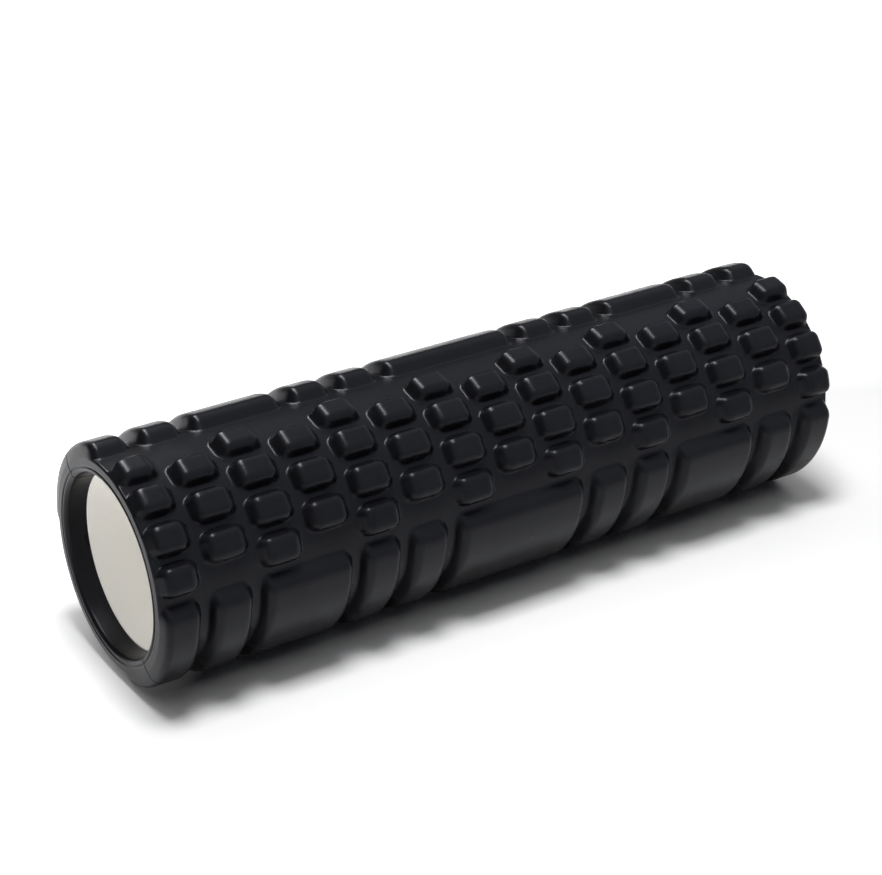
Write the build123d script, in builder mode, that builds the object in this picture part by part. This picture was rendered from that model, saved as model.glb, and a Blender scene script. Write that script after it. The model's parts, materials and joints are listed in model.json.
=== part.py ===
from build123d import *
import os
from math import cos, radians, sin

# Grid-pattern foam roller: a rigid core tube inside a moulded foam sleeve in two halves.
#
# Frame: +X runs along the roller, +Z is up and the origin is the middle of the core bore.
# Angles are in degrees about +X, counted from +Y towards +Z.

# Driving dimensions, in millimetres
roller_length = 450.0
crest_radius = 68.4  # tops of the pads and blocks
floor_radius = 61.2  # floor of the grooves between them
tube_length = 425.0
tube_outer_radius = 53.0
tube_wall = 3.0

# Relief pattern, in rings of equal pitch along the roller
ring_count = 15
ring_pitch = 30.6
row_pitch = 20.0  # degrees between blocks of one ring
rows_in_odd_ring = 4
rows_in_even_ring = 3
pad_ring_counts = [1, 1, 2, 1, 1, 3, 1, 1, 2, 1, 1]  # rings that each pad spans

# One block, as half sizes along the roller and around it
block_foot_half_length = 12.6
block_crest_half_length = 6.9
block_foot_half_width = 8.2
block_crest_half_width = 5.1
block_rounding = 2.2

# Pads and the grooves that part them
groove_foot_half_width = 3.1
groove_crest_half_width = 5.1
wide_pad_arc = 53.0  # degrees from its seam to the foot of its free edge
narrow_pad_arc = 39.0
pad_edge_lean = 3.4  # degrees that a free edge leans back over its height
pad_rounding = 1.6

# The relief stops short of both ends
relief_end_foot = 224.4
relief_end_crest = 223.0

# Sleeve ends, which fold in over the tube's ends
lip_radius = 50.6
mouth_radius = 52.2
mouth_rounding = 3.0
rim_radius = 60.2
rim_bevel = 1.4
tube_edge_chamfer = 0.4

# The roller rests on a pad edge and a block row, one on each side of its lowest line
upper_seam_angle = 46.0
block_zone_middle = 87.0  # degrees from a half's first seam
root_depth = 1.2  # how far pads and blocks reach into the sleeve wall

half_length = roller_length / 2
tube_half_length = tube_length / 2
tube_inner_radius = tube_outer_radius - tube_wall
half_turn = 180.0


def radial_plane(angle):
    """Plane through the axis: local x runs along the roller and local y is the radius."""
    return Plane.XY.rotated((angle, 0, 0))


def at_radius(radius, angle):
    """Point in the roller's middle plane."""
    return Vector(0, radius * cos(radians(angle)), radius * sin(radians(angle)))


def ring_centre(ring):
    """Place of a ring along the roller, with ring 1 at the -X end."""
    return (ring - (ring_count + 1) / 2) * ring_pitch


def make_block(foot_left, crest_left, foot_right, crest_right):
    """Rounded block standing on the groove floor, given how far it reaches to each side."""
    height = crest_radius - floor_radius
    root = root_depth / height
    root_left = foot_left + (foot_left - crest_left) * root
    root_right = foot_right + (foot_right - crest_right) * root
    root_half_width = block_foot_half_width + (block_foot_half_width - block_crest_half_width) * root
    # The flat top's long edges lie on the crest radius, so its middle is a little lower
    top_height = (crest_radius**2 - block_crest_half_width**2) ** 0.5 - floor_radius
    with BuildPart() as block:
        with BuildSketch(Plane.XY.offset(-root_depth)):
            with Locations(((root_right - root_left) / 2, 0)):
                Rectangle(root_left + root_right, 2 * root_half_width)
        with BuildSketch(Plane.XY.offset(top_height)):
            with Locations(((crest_right - crest_left) / 2, 0)):
                Rectangle(crest_left + crest_right, 2 * block_crest_half_width)
        loft()
        foot_edges = block.edges().group_by(Axis.Z)[0]
        fillet(block.edges() - foot_edges, radius=block_rounding)
    return block


def block_locations(rings, seam_angle):
    """Places of the blocks of the given rings, on the groove floor of one sleeve half."""
    places = []
    middle = seam_angle + block_zone_middle
    for ring in rings:
        rows = rows_in_odd_ring if ring % 2 else rows_in_even_ring
        for row in range(rows):
            angle = middle + (row - (rows - 1) / 2) * row_pitch
            foot = at_radius(floor_radius, angle) + Vector(ring_centre(ring), 0, 0)
            places.append(Plane(origin=foot, x_dir=(1, 0, 0), z_dir=at_radius(1, angle)).location)
    return places


def pad_spans():
    """Each pad's two ends along the roller: at its foot and at its crest."""
    spans = []
    end = -ring_count * ring_pitch / 2
    for rings in pad_ring_counts:
        start = end
        end = start + rings * ring_pitch
        foot = (
            max(start + groove_foot_half_width, -relief_end_foot),
            min(end - groove_foot_half_width, relief_end_foot),
        )
        crest = (
            max(start + groove_crest_half_width, -relief_end_crest),
            min(end - groove_crest_half_width, relief_end_crest),
        )
        spans.append((foot, crest))
    return spans


def make_pads(start_angle, arc, free_edge_first):
    """All pads of one zone, turned about the axis, with the zone's one free edge leaning back."""
    root_radius = floor_radius - root_depth
    free_edge_angle = start_angle if free_edge_first else start_angle + arc
    lean = pad_edge_lean if free_edge_first else -pad_edge_lean
    foot = at_radius(floor_radius, free_edge_angle)
    up_the_edge = at_radius(crest_radius, free_edge_angle + lean) - foot
    edge_plane = Plane(origin=foot, x_dir=(1, 0, 0), z_dir=Vector(1, 0, 0).cross(up_the_edge))
    # The turned ring overruns the free edge, so that the cut leaves a whole sloping face
    first_angle = start_angle - pad_edge_lean if free_edge_first else start_angle
    with BuildPart() as pads:
        with BuildSketch(radial_plane(first_angle)) as section:
            for foot_ends, crest_ends in pad_spans():
                with BuildLine():
                    Polyline(
                        (foot_ends[0], root_radius),
                        (foot_ends[0], floor_radius),
                        (crest_ends[0], crest_radius),
                        (crest_ends[1], crest_radius),
                        (foot_ends[1], floor_radius),
                        (foot_ends[1], root_radius),
                        close=True,
                    )
                make_face()
            crest_corners = section.vertices().group_by(Axis.Y)[-1]
            fillet(crest_corners, radius=pad_rounding)
        revolve(axis=Axis.X, revolution_arc=arc + pad_edge_lean)
        split(bisect_by=edge_plane, keep=Keep.TOP if free_edge_first else Keep.BOTTOM)
    return pads


def make_sleeve_half(seam_angle):
    """Foam half shell from one seam to the other, with its pads and blocks."""
    narrow_pads = make_pads(seam_angle, narrow_pad_arc, free_edge_first=False)
    wide_pads_start = seam_angle + half_turn - wide_pad_arc
    wide_pads = make_pads(wide_pads_start, wide_pad_arc, free_edge_first=True)
    foot = block_foot_half_length
    crest = block_crest_half_length
    end_foot = relief_end_foot - ring_centre(ring_count)
    end_crest = relief_end_crest - ring_centre(ring_count)
    block = make_block(foot, crest, foot, crest)
    first_block = make_block(end_foot, end_crest, foot, crest)
    last_block = make_block(foot, crest, end_foot, end_crest)

    with BuildPart() as half:
        with BuildSketch(radial_plane(seam_angle)):
            with BuildLine() as outline:
                Polyline(
                    (0, tube_outer_radius),
                    (tube_half_length, tube_outer_radius),
                    (tube_half_length, lip_radius),
                    (half_length, mouth_radius),
                    (half_length, rim_radius),
                    (half_length - rim_bevel, floor_radius),
                    (0, floor_radius),
                )
                mirror(about=Plane.YZ)
            make_face()
            end_corners = outline.vertices().group_by(Axis.X)
            mouth_corners = [corners.sort_by(Axis.Y)[0] for corners in (end_corners[0], end_corners[-1])]
            fillet(mouth_corners, radius=mouth_rounding)
        revolve(axis=Axis.X, revolution_arc=half_turn)
        add(narrow_pads.part)
        add(wide_pads.part)
        with Locations(*block_locations(range(2, ring_count), seam_angle)):
            add(block.part)
        with Locations(*block_locations([1], seam_angle)):
            add(first_block.part)
        with Locations(*block_locations([ring_count], seam_angle)):
            add(last_block.part)
    return half


def make_core_tube():
    """Rigid tube that carries the sleeve, open from end to end."""
    with BuildPart() as tube:
        with BuildSketch(Plane.YZ.offset(-tube_half_length)):
            Circle(tube_outer_radius)
            Circle(tube_inner_radius, mode=Mode.SUBTRACT)
        extrude(amount=tube_length)
        bore_face = tube.faces().filter_by(GeomType.CYLINDER).sort_by(SortBy.RADIUS)[0]
        chamfer(bore_face.edges().filter_by(GeomType.CIRCLE), length=tube_edge_chamfer)
    return tube


os.makedirs("parts", exist_ok=True)

core_tube = make_core_tube()
core_tube.part.label = "core_tube"
export_step(core_tube.part, "parts/core_tube.step")

sleeve_half_front = make_sleeve_half(upper_seam_angle)
sleeve_half_front.part.label = "sleeve_half_front"
export_step(sleeve_half_front.part, "parts/sleeve_half_front.step")

sleeve_half_rear = make_sleeve_half(upper_seam_angle + half_turn)
sleeve_half_rear.part.label = "sleeve_half_rear"
export_step(sleeve_half_rear.part, "parts/sleeve_half_rear.step")
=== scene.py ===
import json
from math import cos, pi, radians, sin, tan

import bpy
import numpy as np
from mathutils import Matrix, Vector


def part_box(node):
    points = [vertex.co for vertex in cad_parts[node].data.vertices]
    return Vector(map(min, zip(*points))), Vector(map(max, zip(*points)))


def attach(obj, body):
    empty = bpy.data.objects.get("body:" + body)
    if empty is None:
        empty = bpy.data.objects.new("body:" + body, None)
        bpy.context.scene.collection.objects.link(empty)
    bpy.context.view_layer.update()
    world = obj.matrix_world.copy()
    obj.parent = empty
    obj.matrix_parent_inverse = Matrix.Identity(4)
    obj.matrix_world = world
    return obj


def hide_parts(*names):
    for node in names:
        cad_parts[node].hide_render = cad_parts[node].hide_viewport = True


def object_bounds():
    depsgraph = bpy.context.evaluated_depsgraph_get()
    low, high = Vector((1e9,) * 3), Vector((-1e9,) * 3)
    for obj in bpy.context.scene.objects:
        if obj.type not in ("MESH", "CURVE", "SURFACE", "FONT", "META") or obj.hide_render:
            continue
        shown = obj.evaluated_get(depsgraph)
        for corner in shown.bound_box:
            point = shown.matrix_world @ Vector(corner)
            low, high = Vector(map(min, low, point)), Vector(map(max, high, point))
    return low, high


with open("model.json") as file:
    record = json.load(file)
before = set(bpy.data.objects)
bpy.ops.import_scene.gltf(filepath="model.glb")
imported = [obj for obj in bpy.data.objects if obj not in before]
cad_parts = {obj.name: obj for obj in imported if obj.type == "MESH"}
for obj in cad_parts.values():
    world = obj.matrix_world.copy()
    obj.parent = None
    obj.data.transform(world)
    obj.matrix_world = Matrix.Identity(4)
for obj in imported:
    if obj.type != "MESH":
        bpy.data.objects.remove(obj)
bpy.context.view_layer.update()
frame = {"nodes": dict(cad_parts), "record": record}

# The roller's sizes are in millimetres and degrees until a mesh is made, which is in metres.
# The camera, the lights and the materials are in metres throughout.
# Places round the roller are angles about +X, counted from +Y towards +Z.
MM = 0.001

# ---------------------------------------------------------------- sizes from the frame


def farthest_from_axis(node):
    """Largest distance of a CAD node's points from the roller's axis, in millimetres."""
    points = frame["nodes"][node].data.vertices
    return max((v.co.y**2 + v.co.z**2) ** 0.5 for v in points) / MM


core_bore = next(m for m in frame["record"]["mounts"] if m["name"] == "core_bore")
HALF_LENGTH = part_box("sleeve_half_front")[1].x / MM
CREST_RADIUS = farthest_from_axis("sleeve_half_front")
TUBE_RADIUS = farthest_from_axis("core_tube")
TUBE_HALF_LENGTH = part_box("core_tube")[1].x / MM
BORE_RADIUS = core_bore["dims"]["r_mm"]

# ---------------------------------------------------------------- the relief pattern

RELIEF_HEIGHT = 7.2
FLOOR_RADIUS = CREST_RADIUS - RELIEF_HEIGHT  # floor of the grooves
MM_PER_DEGREE = radians(1) * (FLOOR_RADIUS + RELIEF_HEIGHT / 2)  # at half the relief's height
RING_COUNT = 15
RING_PITCH = 30.6
ROW_PITCH = 20.0
ROWS_IN_ODD_RING = 4
ROWS_IN_EVEN_RING = 3
PAD_RING_COUNTS = [1, 1, 2, 1, 1, 3, 1, 1, 2, 1, 1]  # rings that each pad spans
UPPER_SEAM = 46.0
BLOCK_ZONE_MIDDLE = 87.0  # from a half's first seam
NARROW_PAD_ARC = 39.0  # from a half's first seam to its pads' free edge
WIDE_PAD_ARC = 53.0  # from its pads' other free edge to its second seam


class Wall:
    """A sloping wall between two arcs, one in its foot and one on its crest."""

    def __init__(self, start, slope, foot_arc, crest_arc):
        self.start = start  # where the foot's arc leaves the groove floor
        self.slope = radians(slope)
        self.foot_arc = foot_arc
        self.crest_arc = crest_arc
        self.foot_end = foot_arc * sin(self.slope)
        self.foot_rise = foot_arc * (1 - cos(self.slope))
        straight_rise = RELIEF_HEIGHT - (foot_arc + crest_arc) * (1 - cos(self.slope))
        self.crest_start = self.foot_end + straight_rise / tan(self.slope)
        self.reach = self.crest_start + crest_arc * sin(self.slope)

    def share(self, place):
        """How far up the wall a place is: 0 at its start and 1 where its crest is flat."""
        return (self.start - place) / self.reach

    def height(self, share):
        """Height from 0 to 1 at a share of the way across the wall."""
        across = share * self.reach
        foot_across = np.clip(across, 0, self.foot_end)
        on_foot = self.foot_arc - np.sqrt(self.foot_arc**2 - foot_across**2)
        on_wall = self.foot_rise + (across - self.foot_end) * tan(self.slope)
        to_end = np.clip(self.reach - across, 0, self.reach - self.crest_start)
        on_crest = RELIEF_HEIGHT - self.crest_arc + np.sqrt(self.crest_arc**2 - to_end**2)
        height = np.where(across < self.foot_end, on_foot, on_wall)
        return np.where(across > self.crest_start, on_crest, height) / RELIEF_HEIGHT


# Near walls face -X and are gentler than far walls, which face +X.
# A block's walls start from its middle, a pad's from the middle of its groove or from its free
# edge, with a minus sign because the pad lies beyond it, and end walls from the roller's middle.
BLOCK_NEAR_WALL = Wall(start=15.2, slope=57, foot_arc=2.8, crest_arc=7.0)
BLOCK_FAR_WALL = Wall(start=14.2, slope=60, foot_arc=2.0, crest_arc=6.2)
BLOCK_SIDE_WALL = Wall(start=10.6, slope=68, foot_arc=1.5, crest_arc=5.0)
PAD_NEAR_WALL = Wall(start=-1.4, slope=60, foot_arc=1.6, crest_arc=5.0)
PAD_FAR_WALL = Wall(start=-1.6, slope=64, foot_arc=1.2, crest_arc=4.4)
FREE_EDGE_WALL = Wall(start=-1.2, slope=50, foot_arc=2.0, crest_arc=9.0)
END_WALL = Wall(start=225.3, slope=72, foot_arc=0.4, crest_arc=4.5)
GENTLE_END_WALL = Wall(start=225.4, slope=57, foot_arc=2.2, crest_arc=6.6)
BLOCK_OFFSET = 1.2  # of a block's middle from its ring's middle, towards +X


def corner_height(first, first_place, second, second_place):
    """Height from 0 to 1 where two walls meet at a corner that is round in plan."""
    first_short = np.clip(1 - first.share(first_place), 0, None)
    second_short = np.clip(1 - second.share(second_place), 0, None)
    share = 1 - np.hypot(first_short, second_short)
    no_division_by_zero = 1e-12
    weight = first_short**2 / (first_short**2 + second_short**2 + no_division_by_zero)
    return weight * first.height(share) + (1 - weight) * second.height(share)


def ring_centre(ring):
    """Place of a ring along the roller, with ring 1 at the -X end."""
    return (ring - (RING_COUNT + 1) / 2) * RING_PITCH


def pad_grooves():
    """Places along the roller of the grooves between pads."""
    ends = -RING_COUNT * RING_PITCH / 2 + np.cumsum(PAD_RING_COUNTS) * RING_PITCH
    return ends[:-1]


def pad_height(x, angle):
    """Relief of both pad zones, over a half's angle from its first seam."""
    grooves = pad_grooves()
    nothing_near = 2 * HALF_LENGTH
    past_groove = np.where(x >= grooves, x - grooves, nothing_near).min(axis=1, keepdims=True)
    to_groove = np.where(x < grooves, grooves - x, nothing_near).min(axis=1, keepdims=True)
    past_edge = np.minimum(angle - NARROW_PAD_ARC, 180 - WIDE_PAD_ARC - angle) * MM_PER_DEGREE
    near = corner_height(PAD_NEAR_WALL, -past_groove, FREE_EDGE_WALL, past_edge)
    far = corner_height(PAD_FAR_WALL, -to_groove, FREE_EDGE_WALL, past_edge)
    end = corner_height(END_WALL, np.abs(x), FREE_EDGE_WALL, past_edge)
    return RELIEF_HEIGHT * np.minimum(end, np.minimum(near, far))


def block_height(x, angle):
    """Relief of the block zone, over a half's angle from its first seam."""
    ring = np.clip(np.round(x / RING_PITCH + (RING_COUNT + 1) / 2), 1, RING_COUNT)
    past_middle = x - ring_centre(ring) - BLOCK_OFFSET
    rows = np.where(ring % 2 == 1, ROWS_IN_ODD_RING, ROWS_IN_EVEN_RING)
    from_first = (angle - BLOCK_ZONE_MIDDLE) / ROW_PITCH + (rows - 1) / 2
    row = np.clip(np.round(from_first), 0, rows - 1)
    around = np.abs(from_first - row) * ROW_PITCH * MM_PER_DEGREE
    near = corner_height(BLOCK_NEAR_WALL, -past_middle, BLOCK_SIDE_WALL, around)
    far = corner_height(BLOCK_FAR_WALL, past_middle, BLOCK_SIDE_WALL, around)
    near_end = corner_height(GENTLE_END_WALL, -x, BLOCK_SIDE_WALL, around)
    far_end = corner_height(END_WALL, x, BLOCK_SIDE_WALL, around)
    near = np.where(ring == 1, near_end, near)
    far = np.where(ring == RING_COUNT, far_end, far)
    return RELIEF_HEIGHT * np.minimum(near, far)


# ---------------------------------------------------------------- lines and meshes

OUTLINE_STEP = 0.25  # between points along a rounded outline


def spread_lines(start, end, spacing):
    """Places from start to end whose distance apart follows spacing(place)."""
    fine = np.linspace(start, end, 20001)
    density = 1 / spacing(fine)
    total = np.concatenate([[0], np.cumsum((density[1:] + density[:-1]) / 2 * np.diff(fine))])
    count = int(np.ceil(total[-1]))
    return np.interp(np.linspace(0, total[-1], count + 1), total, fine)


def rounded_path(corners):
    """Even points along a line through (x, radius, rounding) corners, each rounded by an arc."""
    points = [np.array(corners[0][:2])]
    for before, (x, radius, rounding), after in zip(corners, corners[1:], corners[2:]):
        here = np.array((x, radius))
        back = np.array(before[:2]) - here
        ahead = np.array(after[:2]) - here
        back /= np.linalg.norm(back)
        ahead /= np.linalg.norm(ahead)
        half_angle = np.arccos(np.clip(back @ ahead, -1, 1)) / 2
        tangent = rounding / tan(half_angle)
        first, last = here + back * tangent, here + ahead * tangent
        middle = (back + ahead) / np.linalg.norm(back + ahead)
        centre = here + middle * rounding / sin(half_angle)
        turn = pi - 2 * half_angle
        count = max(2, int(np.ceil(turn * rounding / OUTLINE_STEP)) + 1)
        for share in np.linspace(0, 1, count):
            from_first = (first - centre) * sin((1 - share) * turn)
            from_last = (last - centre) * sin(share * turn)
            points.append(centre + (from_first + from_last) / sin(turn))
    points.append(np.array(corners[-1][:2]))
    path = np.array(points)
    steps = np.linalg.norm(np.diff(path, axis=0), axis=1)
    length = np.concatenate([[0], np.cumsum(steps)])
    places = np.linspace(0, length[-1], int(np.ceil(length[-1] / OUTLINE_STEP)) + 1)
    return np.stack([np.interp(places, length, path[:, k]) for k in (0, 1)], 1)


def make_piece(name, points, faces, material):
    """Smooth-shaded piece from points in millimetres, riding on the roller's one body."""
    mesh = bpy.data.meshes.new(name)
    mesh.from_pydata([tuple(p) for p in np.array(points) * MM], [], faces)
    mesh.validate()
    mesh.update()
    mesh.polygons.foreach_set("use_smooth", [True] * len(mesh.polygons))
    mesh.materials.append(material)
    piece = bpy.data.objects.new(name, mesh)
    bpy.context.scene.collection.objects.link(piece)
    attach(piece, "root")
    return piece


# ---------------------------------------------------------------- the sleeve

END_START = 219.0  # from here to the mouth, the section follows its own corners
RIM_RADIUS = 60.2
RELIEF_ROOT_RADIUS = RIM_RADIUS - 1  # the end face and the lip, inside it, carry no relief
END_FACE_DEPTH = 2.0
MOUTH_RADIUS = 52.2
LIP_FOOT_RADIUS = 50.6
BEAD_CREASE_RADIUS = 55.6
BEAD_CREASE_WIDTH = 0.55
BEAD_CREASE_DEPTH = 0.7
SEAM_ROUNDING = 0.7

# Corners of the sleeve's section at the +X end as (x, radius, rounding), from its skin to its lip
SLEEVE_END = [
    (END_START, FLOOR_RADIUS, 0),
    (HALF_LENGTH - 0.9, FLOOR_RADIUS, 1.2),
    (HALF_LENGTH - 0.2, RIM_RADIUS, 0.6),
    (HALF_LENGTH, BEAD_CREASE_RADIUS, 3.0),
    (HALF_LENGTH, MOUTH_RADIUS, 3.0),
    (TUBE_HALF_LENGTH, LIP_FOOT_RADIUS, 0),
]


def step_along(x):
    """Step between the mesh's lines along the roller: fine where the walls are."""
    fine, coarse, growth = 0.55, 1.6, 0.4
    walls_start, walls_end = 1.6, 9.5  # from where two rings meet
    phase = (x / RING_PITCH + RING_COUNT / 2) % 1
    from_boundary = RING_PITCH * np.minimum(phase, 1 - phase)
    off_walls = np.clip(walls_start - from_boundary, 0, None)
    off_walls = off_walls + np.clip(from_boundary - walls_end, 0, None)
    return np.clip(fine + growth * off_walls, fine, coarse)


def step_around(angle):
    """Step between the mesh's lines round one half, in degrees: finest at the seams."""
    finest, fine, coarse, growth = 0.12, 0.5, 1.6, 0.25
    walls_start, walls_end = NARROW_PAD_ARC - 6, 180 - WIDE_PAD_ARC + 6
    off_walls = np.clip(walls_start - angle, 0, None) + np.clip(angle - walls_end, 0, None)
    to_seam = np.minimum(angle, 180 - angle)
    step = np.clip(fine + growth * off_walls, fine, coarse)
    return np.minimum(step, finest + growth * to_seam)


def sleeve_outline():
    """Outer line of the sleeve's section as (x, radius), from one end of the tube to the other."""
    right = rounded_path(SLEEVE_END)
    left = right[::-1] * [-1, 1]
    middle = spread_lines(-END_START, END_START, step_along)[1:-1]
    middle = np.stack([middle, np.full_like(middle, FLOOR_RADIUS)], 1)
    return np.concatenate([left, middle, right])


def outline_normals(outline):
    """Unit normals of the outline, pointing out of the foam."""
    along = np.gradient(outline, axis=0)
    along /= np.linalg.norm(along, axis=1)[:, None]
    return np.stack([-along[:, 1], along[:, 0]], 1)


def sunk_depth(x, radius, angle):
    """Depth of the groove where the halves meet, and of the crease round the mouth."""
    to_seam = np.minimum(angle, 180 - angle) * radians(1) * radius
    inset = np.clip(SEAM_ROUNDING - to_seam, 0, None)
    seam_groove = SEAM_ROUNDING - np.sqrt(SEAM_ROUNDING**2 - inset**2)
    on_end_face = np.abs(x) > HALF_LENGTH - END_FACE_DEPTH
    from_crease = (radius - BEAD_CREASE_RADIUS) / BEAD_CREASE_WIDTH
    return seam_groove + on_end_face * BEAD_CREASE_DEPTH * np.exp(-(from_crease**2))


def sleeve_faces(rows, columns):
    """Faces of a closed half shell: outer grid, two inner rows of points, and a seam face at
    each side. Outer points come first, row by row, then the inner rows at the -X and +X ends."""
    left_inner = rows * columns
    right_inner = left_inner + columns
    last_outer = left_inner - columns
    # Each strip joins two rows of points, given by their first points
    strips = [(i * columns, (i + 1) * columns) for i in range(rows - 1)]
    strips += [(left_inner, 0), (last_outer, right_inner), (right_inner, left_inner)]
    faces = []
    for here, after in strips:
        for j in range(columns - 1):
            faces.append((here + j, here + j + 1, after + j + 1, after + j))
    for j in (0, columns - 1):
        loop = [i * columns + j for i in range(rows)] + [right_inner + j, left_inner + j]
        faces.append(loop if j == 0 else loop[::-1])
    return faces


def make_sleeve_half(name, first_seam, material):
    """Foam half shell, closed by the face glued to the tube and the two seam faces."""
    outline = sleeve_outline()
    normals = outline_normals(outline)
    x, radius = outline[:, :1], outline[:, 1:]
    angle = spread_lines(0, 180, step_around)[None, :]
    relief = np.maximum(pad_height(x, angle), block_height(x, angle))
    relief = relief * (radius > RELIEF_ROOT_RADIUS)
    sunk = sunk_depth(x, radius, angle)
    outer_x = x - normals[:, :1] * sunk
    outer_radius = radius + relief - normals[:, 1:] * sunk
    turn = np.radians(angle + first_seam)
    outer = np.stack([outer_x, outer_radius * np.cos(turn), outer_radius * np.sin(turn)], -1)
    inner = [
        [(end, TUBE_RADIUS * cos(a), TUBE_RADIUS * sin(a)) for a in turn[0]]
        for end in (-TUBE_HALF_LENGTH, TUBE_HALF_LENGTH)
    ]
    points = np.concatenate([outer.reshape(-1, 3), np.array(inner).reshape(-1, 3)])
    piece = make_piece(name, points, sleeve_faces(*outer.shape[:2]), material)
    return piece


# ---------------------------------------------------------------- the core tube

TUBE_EDGE_ROUNDING = 0.5
TUBE_LINES_AROUND = 180
TUBE_END_DETAIL = 3.0  # how far in from its ends the tube's section has points


def tube_section():
    """Closed line round the tube's wall as (x, radius), with slightly rounded, sawn ends."""
    end = rounded_path([
        (0, TUBE_RADIUS, 0),
        (TUBE_HALF_LENGTH, TUBE_RADIUS, TUBE_EDGE_ROUNDING),
        (TUBE_HALF_LENGTH, BORE_RADIUS, TUBE_EDGE_ROUNDING),
        (0, BORE_RADIUS, 0),
    ])
    detailed = end[end[:, 0] > TUBE_HALF_LENGTH - TUBE_END_DETAIL]
    right = np.concatenate([end[:1], detailed, end[-1:]])
    left = right[::-1][1:-1] * [-1, 1]
    return np.concatenate([right, left])


def make_core_tube(name, material):
    """Extruded tube, open from end to end."""
    section = tube_section()
    count = len(section)
    points = []
    faces = []
    for k in range(TUBE_LINES_AROUND):
        turn = 2 * pi * k / TUBE_LINES_AROUND
        points += [(x, r * cos(turn), r * sin(turn)) for x, r in section]
        here, after = k * count, (k + 1) % TUBE_LINES_AROUND * count
        for i in range(count):
            j = (i + 1) % count
            faces.append((here + i, after + i, after + j, here + j))
    return make_piece(name, points, faces, material)


# ---------------------------------------------------------------- materials

NOISE_RANGE = (0.3, 0.7)  # most of a noise's values lie between these
MAP_RANGE_INPUTS = ("From Min", "From Max", "To Min", "To Max")


class Nodes:
    """Short ways to make and join the nodes of a material."""

    def __init__(self, name):
        self.material = bpy.data.materials.new(name)
        self.material.use_nodes = True
        self.tree = self.material.node_tree
        self.shader = next(n for n in self.tree.nodes if n.type == "BSDF_PRINCIPLED")

    def add(self, kind, **settings):
        node = self.tree.nodes.new(kind)
        for key, value in settings.items():
            setattr(node, key, value)
        return node

    def link(self, source, target):
        self.tree.links.new(source, target)

    def set(self, name, value):
        """Give the shader a plain value or another node's output."""
        socket = self.shader.inputs[name]
        if isinstance(value, bpy.types.NodeSocket):
            self.link(value, socket)
        else:
            socket.default_value = value

    def place(self):
        """The piece's own coordinates, in metres."""
        return self.add("ShaderNodeTexCoord").outputs["Object"]

    def noise(self, scale, detail, stretch=(1, 1, 1)):
        """Noise with its scale in cycles per metre."""
        spread = self.add("ShaderNodeMapping")
        spread.inputs["Scale"].default_value = stretch
        self.link(self.place(), spread.inputs["Vector"])
        noise = self.add("ShaderNodeTexNoise")
        noise.inputs["Scale"].default_value = scale
        noise.inputs["Detail"].default_value = detail
        self.link(spread.outputs["Vector"], noise.inputs["Vector"])
        return noise.outputs["Fac"]

    def scaled(self, value, source, target):
        """Map the source range of a value onto the target range, and hold it there."""
        node = self.add("ShaderNodeMapRange")
        for name, number in zip(MAP_RANGE_INPUTS, (*source, *target)):
            node.inputs[name].default_value = number
        self.link(value, node.inputs["Value"])
        return node.outputs["Result"]

    def along(self, direction):
        """How far a place lies along a direction, times the direction's length."""
        node = self.add("ShaderNodeVectorMath", operation="DOT_PRODUCT")
        node.inputs[1].default_value = direction
        self.link(self.place(), node.inputs[0])
        return node.outputs["Value"]

    def larger(self, first, second):
        node = self.add("ShaderNodeMath", operation="MAXIMUM")
        self.link(first, node.inputs[0])
        self.link(second, node.inputs[1])
        return node.outputs[0]

    def blotches(self, noise, dark, light):
        """Colour that drifts between two tones."""
        node = self.add("ShaderNodeValToRGB")
        for element, place, colour in zip(node.color_ramp.elements, NOISE_RANGE, (dark, light)):
            element.position = place
            element.color = (*colour, 1)
        self.link(noise, node.inputs["Fac"])
        return node.outputs["Color"]

    def bump(self, height, distance, strength, under=None):
        """Bump of a height map, on top of the normal of another bump if one is given."""
        node = self.add("ShaderNodeBump")
        node.inputs["Strength"].default_value = strength
        node.inputs["Distance"].default_value = distance
        self.link(height, node.inputs["Height"])
        if under is not None:
            self.link(under, node.inputs["Normal"])
        return node.outputs["Normal"]


def make_foam_material():
    """Black moulded EVA foam, with a satin skin that is a little uneven in tone, gloss and form."""
    n = Nodes("sleeve_foam")
    tone = n.noise(28.0, detail=4.0)
    n.set("Base Color", n.blotches(tone, (0.0046, 0.0047, 0.0056), (0.0064, 0.0066, 0.0078)))
    n.set("Roughness", n.scaled(n.noise(60.0, detail=5.0), NOISE_RANGE, (0.27, 0.33)))
    n.set("IOR", 1.28)
    n.set("Specular Tint", (0.89, 0.90, 1.0, 1))
    grain = n.bump(n.noise(2600.0, detail=2.0), distance=0.00003, strength=0.5)
    wave = n.bump(n.noise(160.0, detail=2.0), distance=0.0002, strength=0.35, under=grain)
    n.set("Normal", wave)
    return n.material


def make_tube_material():
    """Off-white extruded plastic with faint lines along it, and a faint glow that lifts the
    shaded bore to its brightness in the photograph."""
    n = Nodes("core_plastic")
    tone = n.noise(14.0, detail=3.0)
    n.set("Base Color", n.blotches(tone, (0.90, 0.885, 0.85), (0.94, 0.93, 0.90)))
    lines = n.noise(420.0, detail=3.0, stretch=(0.02, 1, 1))
    n.set("Roughness", n.scaled(lines, NOISE_RANGE, (0.34, 0.46)))
    n.set("IOR", 1.5)
    n.set("Emission Color", (1.0, 0.97, 0.91, 1))
    n.set("Emission Strength", 0.12)
    n.set("Normal", n.bump(lines, distance=0.00005, strength=0.4))
    return n.material


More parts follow.
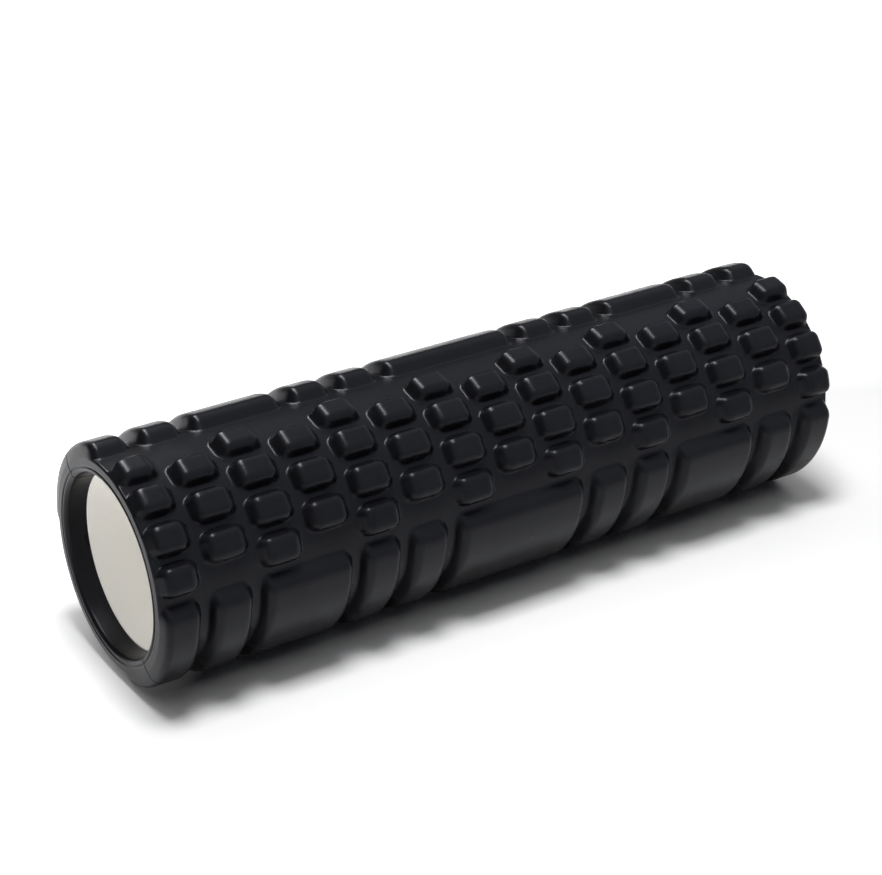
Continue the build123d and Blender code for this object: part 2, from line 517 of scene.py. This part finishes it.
def make_floor_material():
    """White sheet that is also lit from below, beside the near end and behind the roller."""
    n = Nodes("studio_floor")
    tone = n.noise(3.0, detail=2.0)
    n.set("Base Color", n.blotches(tone, (0.90, 0.90, 0.905), (0.92, 0.92, 0.925)))
    n.set("Roughness", 0.9)
    n.set("Emission Color", (1, 1, 1, 1))
    beside_near_end = n.scaled(n.along((-0.5, 0.85, 0)), (0.07, 0.3), (0.0, 0.7))
    behind = n.scaled(n.along((0.45, 1.0, 0)), (0.2, 0.6), (0.0, 1.1))
    n.set("Emission Strength", n.larger(beside_near_end, behind))
    return n.material


# ---------------------------------------------------------------- studio

CAMERA_PLACE = (-0.67774, -1.03096, 0.65531)
CAMERA_PITCH = 27.392  # degrees below level
CAMERA_YAW = 32.841  # degrees from +Y towards +X
CAMERA_LENS = 98.57
CAMERA_SHIFT = (-0.00085, -0.00215)
FLOOR_SIZE = 12.0
ROOM_COLOUR = (0.85, 0.885, 1.0, 1)
ROOM_STRENGTHS = (0.05, 0.68)  # on its dim side and on its bright side
ROOM_BRIGHT_SIDE = Vector((0.55, -0.65, 0.5)).normalized()
ROOM_EDGE = (-0.25, 0.4)  # the room brightens between these cosines from its bright side


def make_camera():
    data = bpy.data.cameras.new("camera")
    data.lens = CAMERA_LENS
    data.sensor_width = 36.0
    data.shift_x, data.shift_y = CAMERA_SHIFT
    data.clip_end = 100
    camera = bpy.data.objects.new("camera", data)
    camera.location = CAMERA_PLACE
    camera.rotation_euler = (radians(90 - CAMERA_PITCH), 0, radians(-CAMERA_YAW))
    bpy.context.scene.collection.objects.link(camera)
    bpy.context.scene.camera = camera


def make_area_light(name, ends, width, power):
    """Soft light between two places, facing the middle of the roller."""
    first, last = Vector(ends[0]), Vector(ends[1])
    middle = (first + last) / 2
    data = bpy.data.lights.new(name, "AREA")
    data.shape = "RECTANGLE"
    data.size = width
    data.size_y = (last - first).length
    data.energy = power
    light = bpy.data.objects.new(name, data)
    z_axis = middle.normalized()
    x_axis = (last - first).cross(z_axis).normalized()
    turn = Matrix((x_axis, z_axis.cross(x_axis), z_axis)).transposed()
    light.matrix_world = Matrix.Translation(middle) @ turn.to_4x4()
    bpy.context.scene.collection.objects.link(light)
    return light


def make_lights():
    """Two lights for the floor and the roller's own colours, and one that only reflects."""
    overhead_ends = ((-0.18, -0.44, 1.6), (-0.18, 0.04, 1.6))
    ceiling_ends = ((0.0, -1.8, 2.0), (0.0, 1.4, 2.0))
    strip_ends = ((-0.45, -0.15, 1.85), (0.05, 1.5, 1.05))
    make_area_light("overhead", overhead_ends, width=0.5, power=23.5).visible_glossy = False
    make_area_light("ceiling", ceiling_ends, width=3.2, power=26).visible_glossy = False
    make_area_light("strip", strip_ends, width=0.3, power=38).visible_diffuse = False


def make_room():
    """Room that only reflects: brightest to the front and right, dim to the left and behind."""
    world = bpy.data.worlds.new("studio")
    world.use_nodes = True
    tree = world.node_tree
    direction = tree.nodes.new("ShaderNodeTexCoord").outputs["Generated"]
    facing = tree.nodes.new("ShaderNodeVectorMath")
    facing.operation = "DOT_PRODUCT"
    facing.inputs[1].default_value = ROOM_BRIGHT_SIDE
    tree.links.new(direction, facing.inputs[0])
    strength = tree.nodes.new("ShaderNodeMapRange")
    strength.interpolation_type = "SMOOTHSTEP"
    for name, number in zip(MAP_RANGE_INPUTS, (*ROOM_EDGE, *ROOM_STRENGTHS)):
        strength.inputs[name].default_value = number
    tree.links.new(facing.outputs["Value"], strength.inputs["Value"])
    background = tree.nodes["Background"]
    background.inputs["Color"].default_value = ROOM_COLOUR
    tree.links.new(strength.outputs["Result"], background.inputs["Strength"])
    bpy.context.scene.world = world
    world.cycles_visibility.diffuse = False


def make_floor():
    """White floor under the roller's lowest point."""
    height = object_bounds()[0][2]
    reach = FLOOR_SIZE / 2
    corners = [(-reach, -reach), (reach, -reach), (reach, reach), (-reach, reach)]
    mesh = bpy.data.meshes.new("studio_floor")
    mesh.from_pydata([(x, y, height) for x, y in corners], [], [(0, 1, 2, 3)])
    mesh.materials.append(make_floor_material())
    floor = bpy.data.objects.new("studio_floor", mesh)
    bpy.context.scene.collection.objects.link(floor)


# ---------------------------------------------------------------- build

foam = make_foam_material()
for half_name, seam in (("sleeve_half_front", UPPER_SEAM), ("sleeve_half_rear", UPPER_SEAM + 180)):
    half = make_sleeve_half(half_name + "_skin", seam, foam)
    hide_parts(half_name)

tube = make_core_tube("core_tube_shell", make_tube_material())
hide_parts("core_tube")

make_floor()
make_room()
make_lights()
make_camera()
bpy.context.scene.view_settings.view_transform = "Standard"
